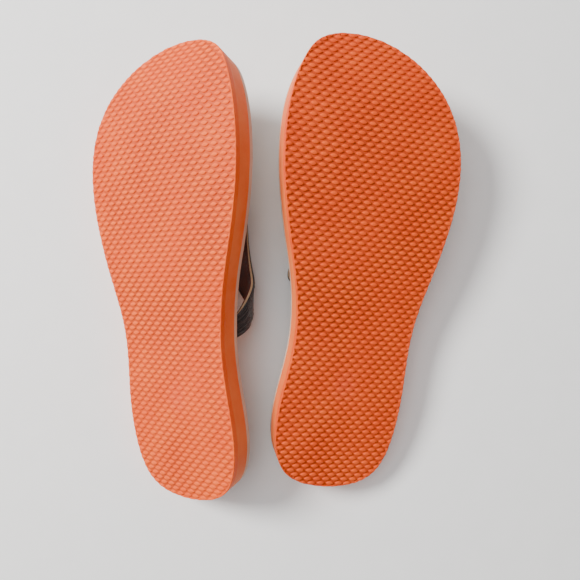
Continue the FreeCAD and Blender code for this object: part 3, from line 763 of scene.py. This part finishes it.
class Paint:
    """A node material put together in a few calls."""

    def __init__(self, name, roughness, specular=0.5, sheen=0.0, coords="place"):
        self.material = bpy.data.materials.new(name)
        self.material.use_nodes = True
        self.tree = self.material.node_tree
        self.shader = self.tree.nodes["Principled BSDF"]
        self.shader.inputs["Roughness"].default_value = roughness
        self.shader.inputs["Specular IOR Level"].default_value = specular
        self.shader.inputs["Sheen Weight"].default_value = sheen
        if coords == "place":
            source = self.node("ShaderNodeAttribute")
            source.attribute_name = "place"
            self.coords = source.outputs["Vector"]
        else:
            self.coords = self.node("ShaderNodeTexCoord").outputs["Object"]
        self.height = None

    def node(self, kind):
        return self.tree.nodes.new(kind)

    def link(self, source, target):
        self.tree.links.new(source, target)

    def mark(self):
        source = self.node("ShaderNodeAttribute")
        source.attribute_name = "mark"
        return source.outputs["Fac"]

    def scaled(self, scale):
        """Coordinates stretched by three factors."""
        mapping = self.node("ShaderNodeMapping")
        mapping.inputs["Scale"].default_value = scale
        self.link(self.coords, mapping.inputs["Vector"])
        return mapping.outputs["Vector"]

    def noise(self, scale, detail=4.0, roughness=0.55):
        texture = self.node("ShaderNodeTexNoise")
        texture.inputs["Scale"].default_value = 1.0
        texture.inputs["Detail"].default_value = detail
        texture.inputs["Roughness"].default_value = roughness
        self.link(self.scaled(scale), texture.inputs["Vector"])
        return texture.outputs["Fac"]

    def cells(self, scale):
        texture = self.node("ShaderNodeTexVoronoi")
        texture.inputs["Scale"].default_value = 1.0
        self.link(self.scaled(scale), texture.inputs["Vector"])
        return texture.outputs["Distance"]

    def wave(self, direction, scale):
        texture = self.node("ShaderNodeTexWave")
        texture.wave_type = "BANDS"
        texture.bands_direction = direction
        texture.inputs["Scale"].default_value = 1.0
        texture.inputs["Distortion"].default_value = 0.0
        self.link(self.scaled(scale), texture.inputs["Vector"])
        return texture.outputs["Fac"]

    def math(self, operation, first, second):
        node = self.node("ShaderNodeMath")
        node.operation = operation
        for socket, value in zip(node.inputs, (first, second)):
            if isinstance(value, (int, float)):
                socket.default_value = value
            else:
                self.link(value, socket)
        return node.outputs[0]

    def ramp(self, factor, stops):
        """Colours between stops of (position, colour)."""
        node = self.node("ShaderNodeValToRGB")
        elements = node.color_ramp.elements
        while len(elements) < len(stops):
            elements.new(0.5)
        for element, (position, colour) in zip(elements, stops):
            element.position = position
            element.color = colour
        self.link(factor, node.inputs["Fac"])
        return node.outputs["Color"]

    def mix(self, factor, first, second, blend="MIX"):
        node = self.node("ShaderNodeMix")
        node.data_type = "RGBA"
        node.blend_type = blend
        colours = [socket for socket in node.inputs if socket.type == "RGBA"]
        for socket, value in ((node.inputs["Factor"], factor), (colours[0], first),
                              (colours[1], second)):
            if isinstance(value, (int, float, tuple)):
                socket.default_value = value
            else:
                self.link(value, socket)
        return [socket for socket in node.outputs if socket.type == "RGBA"][0]

    def colour(self, source):
        self.link(source, self.shader.inputs["Base Color"])

    def rough(self, factor, low, high):
        node = self.node("ShaderNodeMapRange")
        node.inputs["To Min"].default_value = low
        node.inputs["To Max"].default_value = high
        self.link(factor, node.inputs["Value"])
        self.link(node.outputs["Result"], self.shader.inputs["Roughness"])

    def bump(self, height, distance):
        """Relief of a height between 0 and 1, with its depth in millimetres."""
        node = self.node("ShaderNodeBump")
        node.inputs["Strength"].default_value = 1.0
        node.inputs["Distance"].default_value = distance * MM
        self.link(height, node.inputs["Height"])
        if self.height is not None:
            self.link(self.height, node.inputs["Normal"])
        self.height = node.outputs["Normal"]
        self.link(self.height, self.shader.inputs["Normal"])


def dark_of(colour, share):
    """The same colour, darker."""
    return tuple(share * channel for channel in colour[:3]) + (1.0,)


def foam(name, light, dark, pore=0.05, tread=False, smudge=None):
    """Closed-cell foam: mottled colour, fine pores and the faint lines of its saw cut; on a
    tread, painted shade in the grooves between the pads.
    """
    paint = Paint(name, 0.55, 0.3)
    clouds = paint.noise((0.05, 0.05, 0.05), 3.0)
    grain = paint.noise((1.4, 1.4, 1.4), 5.0)
    colour = paint.ramp(clouds, ((0.35, dark), (0.65, light)))
    colour = paint.mix(paint.math("MULTIPLY", grain, 0.35), colour, dark)
    if tread:
        # painted shade: where the tread is low (mark 1, the grooves between the pads) the colour
        # is darkened towards a deep orange, in patches, standing in for the shadow that falls in
        # them
        groove_shade_patches = paint.noise((0.03, 0.02, 0.03), 2.0)
        painted_groove_shade = paint.math("MULTIPLY", paint.mark(), paint.math("ADD", groove_shade_patches, 0.25))
        colour = paint.mix(painted_groove_shade, colour, dark_of(dark, 0.55))
    else:
        lines = paint.noise((0.05, 0.05, 2.4), 3.0)
        colour = paint.mix(paint.math("MULTIPLY", lines, 0.3), colour, dark)
        paint.bump(lines, 0.10)
    specks = paint.cells((0.22, 0.22, 0.22))
    speck = paint.math("LESS_THAN", specks, 0.035)
    colour = paint.mix(paint.math("MULTIPLY", speck, 0.5), colour, srgb(120, 48, 26))
    if smudge:
        spot = paint.node("ShaderNodeVectorMath")
        spot.operation = "DISTANCE"
        paint.link(paint.scaled((1.0, 0.8, 0.0)), spot.inputs[0])
        spot.inputs[1].default_value = smudge
        near = paint.node("ShaderNodeMapRange")
        near.inputs["From Min"].default_value = 9.0
        near.inputs["From Max"].default_value = 2.0
        paint.link(spot.outputs["Value"], near.inputs["Value"])
        broken = paint.math("MULTIPLY", near.outputs["Result"],
                            paint.math("MULTIPLY", paint.noise((0.5, 0.5, 0.5), 4.0), 0.5))
        colour = paint.mix(broken, colour, srgb(214, 72, 52))
    paint.colour(colour)
    paint.rough(grain, 0.5, 0.72)
    paint.bump(paint.cells((2.6, 2.6, 2.6)), pore)
    paint.bump(grain, 0.04)
    return paint.material


def woven(name, light, dark, thread):
    """Plain weave in the strap's own coordinates, with a soft sheen."""
    paint = Paint(name, 0.75, 0.3, sheen=0.35)
    warp = paint.wave("X", (1.0 / thread, 1.0, 1.0))
    weft = paint.wave("Y", (1.0, 1.0 / thread, 1.0))
    weave = paint.math("MULTIPLY", warp, weft)
    fuzz = paint.noise((1.2, 1.2, 1.2), 5.0)
    colour = paint.ramp(weave, ((0.1, dark), (0.8, light)))
    colour = paint.mix(paint.math("MULTIPLY", fuzz, 0.5), colour, dark)
    paint.colour(colour)
    paint.rough(fuzz, 0.62, 0.9)
    paint.bump(weave, 0.10)
    paint.bump(fuzz, 0.05)
    return paint.material


def leather(name, light, dark):
    """Grained lining with creases."""
    paint = Paint(name, 0.42, 0.5)
    grain = paint.cells((1.5, 1.5, 1.5))
    clouds = paint.noise((0.12, 0.12, 0.12), 4.0)
    colour = paint.ramp(clouds, ((0.3, dark), (0.7, light)))
    colour = paint.mix(paint.math("MULTIPLY", grain, 0.4), colour, dark)
    paint.colour(colour)
    paint.rough(clouds, 0.32, 0.58)
    paint.bump(grain, 0.10)
    paint.bump(paint.noise((0.5, 0.08, 0.5), 4.0), 0.15)
    return paint.material


def felt(name, light, dark):
    """Fibrous core that shows at the strap's edges."""
    paint = Paint(name, 0.9, 0.2, sheen=0.2)
    fibres = paint.noise((1.5, 0.6, 4.0), 6.0, 0.7)
    paint.colour(paint.ramp(fibres, ((0.3, dark), (0.7, light))))
    paint.rough(fibres, 0.8, 0.95)
    paint.bump(fibres, 0.10)
    return paint.material


def plastic(name, light, dark):
    """Moulded plastic with a fine spark texture, in the frame's coordinates."""
    paint = Paint(name, 0.5, 0.5, coords="object")
    spark = paint.noise((900.0, 900.0, 900.0), 3.0)
    paint.colour(paint.ramp(spark, ((0.3, dark), (0.7, light))))
    paint.rough(spark, 0.4, 0.6)
    paint.bump(spark, 0.04)
    return paint.material


# ---------------------------------------------------------------- build


FOAM_LIGHT, FOAM_DARK = srgb(248, 104, 28), srgb(240, 88, 20)
# painted highlight: the midsole is the same foam as the outsole but is given a paler, peachier
# colour, standing in for the key light on the sole's lit side wall
WALL_LIGHT, WALL_DARK = srgb(248, 128, 62), srgb(238, 106, 44)
MATERIALS = {
    "right_outsole": foam("outsole_foam_right", FOAM_LIGHT, FOAM_DARK, tread=True,
                          smudge=(2.0, -52.0, 0.0)),
    # painted shade: the left sandal's outsole is a darker, more saturated copy of the same foam,
    # standing in for its face turned away from the key light
    "left_outsole": foam("outsole_foam_left_shaded", srgb(244, 94, 22), srgb(232, 78, 15), tread=True,
                         smudge=(-2.0, -50.0, 0.0)),
    "midsole": foam("midsole_foam", WALL_LIGHT, WALL_DARK),
    "footbed": foam("footbed_foam", srgb(226, 196, 172), srgb(204, 174, 152), pore=0.12),
    "upper": woven("strap_weave", srgb(34, 33, 34), srgb(12, 11, 12), 0.16),
    "gather": woven("gather_weave", srgb(30, 29, 30), srgb(9, 8, 9), 0.2),
    "post": woven("post_weave", srgb(30, 29, 30), srgb(9, 8, 9), 0.18),
    "thread": woven("stitch_thread", srgb(44, 42, 42), srgb(18, 16, 16), 0.3),
    "lining": leather("lining_leather", srgb(96, 34, 18), srgb(58, 16, 8)),
    "core": felt("core_felt", srgb(214, 184, 150), srgb(178, 146, 112)),
    "plastic": plastic("anchor_plastic", srgb(52, 50, 50), srgb(34, 32, 32)),
}


def build_sole(sandal, legs, rim, fine_rim):
    """Outsole, midsole and footbed of one sandal."""
    name = sandal.name
    tread = sole_sheet(fine_rim, [], 0.0, OUTSOLE, (0.35, 0.12), tread=True, rough=0.05)
    tread.finish(name + "_outsole_tread", sandal, MATERIALS[name + "_outsole"], "outsole_foam",
                 (name + "_outsole",), crease=50.0)
    lower, upper = OUTSOLE, OUTSOLE + MIDSOLE
    pockets = [(ring(sandal.post, DISC_DIAMETER / 2.0 + CLEAR),
                sandal.disc_top - PLUG_THICKNESS - CLEAR)]
    slots = [ring(sandal.post, POST_DIAMETER / 2.0 + CLEAR)]
    for leg in legs:
        plug = leg.anchor[:2] + (leg.side * (STRAP - PLUG_ACROSS / 2.0), 0.0)
        floor = leg.anchor[2] - FOOTBED - 2.0 * CLEAR - PLUG_THICKNESS
        pockets.append((rounded_rectangle(plug, PLUG_ACROSS + 2.0 * CLEAR,
                                          PLUG_ALONG + 2.0 * CLEAR, 0.4), floor))
        slots.append(rounded_rectangle(leg.anchor[:2] + (leg.side * STRAP / 2.0, 0.0),
                                       STRAP + 2.0 * CLEAR, FOOT_WIDTH + 2.0 * CLEAR, 0.4))
    middle = sole_sheet(rim, [], lower, upper, (0.12, 0.12), pockets=pockets, rough=0.16)
    middle.finish(name + "_midsole_foam", sandal, MATERIALS["midsole"], "midsole_foam",
                  (name + "_midsole",), crease=50.0)
    bed = sole_sheet(rim, slots, upper, SOLE, (0.12, 0.5), rough=0.08)
    bed.finish(name + "_footbed_foam", sandal, MATERIALS["footbed"], "footbed_foam",
               (name + "_footbed",), crease=50.0)


def build_straps(sandal, rim):
    """Both legs, their gathers and stitches, the toe post and the saddle."""
    legs = []
    for leg_name in ("medial", "lateral"):
        leg = StrapLeg(sandal, leg_name, rim)
        legs.append(leg)
        base = "%s_%s_strap_" % (sandal.name, leg_name)
        leg.band(base + "lining_leather", 0.0, LINING, MATERIALS["lining"], "strap_lining",
                 replaced=(base + "lining",))
        leg.band(base + "core_felt", LINING, LINING + CORE, MATERIALS["core"], "strap_core",
                 edge=0.15, replaced=(base + "core",))
        leg.band(base + "upper_weave", LINING + CORE, STRAP, MATERIALS["upper"], "strap_upper",
                 bulge=0.15, replaced=(base + "upper",))
        leg.gathers(base + "gather_pleats", MATERIALS["gather"], "strap_gather",
                    (base + "gather",))
        leg.stitches(base + "stitches", MATERIALS["thread"], "strap_upper")
    bottom = float(legs[0].end[2])
    toe_post(sandal, sandal.disc_top, bottom, MATERIALS["post"])
    saddle(sandal, bottom, MATERIALS["upper"])
    saddle_stitches(sandal, bottom, MATERIALS["thread"])
    return legs


SANDALS = [Sandal("right"), Sandal("left")]
for sandal in SANDALS:
    rim = outline(sandal.medial, 360)
    legs = build_straps(sandal, rim)
    build_sole(sandal, legs, rim, outline(sandal.medial, 720))

for node_name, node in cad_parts.items():
    if not node.hide_render:
        node.data.materials.clear()
        node.data.materials.append(MATERIALS["plastic"])
        node.data.shade_smooth()
        node.data.set_sharp_from_angle(angle=math.radians(30.0))

# ---------------------------------------------------------------- floor, light and camera


def new_floor():
    """Plain pale floor with a slow curve up at the back."""
    mesh = bpy.data.meshes.new("floor")
    steps, half, curve, top = 24, 2.2, 0.6, 1.8
    turns = [0.5 * math.pi * step / steps for step in range(1, steps)]
    profile = [(-half, 0.0), (half - curve, 0.0)]
    profile += [(half - curve + curve * math.sin(turn), curve - curve * math.cos(turn))
                for turn in turns]
    profile.append((half, top))
    points = [(side * half, along, height) for along, height in profile for side in (-1, 1)]
    faces = [(2 * row, 2 * row + 1, 2 * row + 3, 2 * row + 2)
             for row in range(len(profile) - 1)]
    mesh.from_pydata(points, [], faces)
    mesh.polygons.foreach_set("use_smooth", [True] * len(faces))
    floor = bpy.data.objects.new("floor", mesh)
    bpy.context.scene.collection.objects.link(floor)
    paint = Paint("floor_paper", 0.85, 0.2, coords="object")
    paper = paint.noise((60.0, 60.0, 60.0), 4.0)
    paint.colour(paint.ramp(paper, ((0.3, srgb(250, 250, 250)), (0.7, srgb(253, 253, 253)))))
    paint.bump(paper, 0.02)
    mesh.materials.append(paint.material)


def area_light(name, place, target, size, watts, colour=(1.0, 1.0, 1.0)):
    data = bpy.data.lights.new(name, "AREA")
    data.shape = "DISK"
    data.size = size
    data.energy = watts
    data.color = colour
    lamp = bpy.data.objects.new(name, data)
    lamp.location = place
    lamp.rotation_euler = (Vector(target) - Vector(place)).to_track_quat("-Z", "Y").to_euler()
    bpy.context.scene.collection.objects.link(lamp)


new_floor()
area_light("key", (-0.95, 0.50, 0.98), (0.0, 0.0, 0.04), 0.5, 36.0, (1.0, 0.98, 0.95))
area_light("top", (-0.3, 0.3, 1.6), (0.0, 0.0, 0.0), 1.2, 12.0)

world = bpy.data.worlds.new("studio")
world.use_nodes = True
world.node_tree.nodes["Background"].inputs["Color"].default_value = (1.0, 1.0, 1.0, 1.0)
world.node_tree.nodes["Background"].inputs["Strength"].default_value = 0.26
bpy.context.scene.world = world

VIEW_LEFT, VIEW_DOWN, VIEW_HEIGHT = 0.0629, 0.0050, 0.322
POSE_ALONG = -10.5
camera_data = bpy.data.cameras.new("camera")
camera_data.sensor_width = 36.0
camera_data.lens = 37.24
camera = bpy.data.objects.new("camera", camera_data)
underside = SANDALS[0].place([(0.0, POSE_ALONG, layer_height(POSE_ALONG, 0.0))])[0]
camera.location = Vector(underside) + Vector((VIEW_LEFT, VIEW_DOWN, VIEW_HEIGHT))
bpy.context.scene.collection.objects.link(camera)
bpy.context.scene.camera = camera
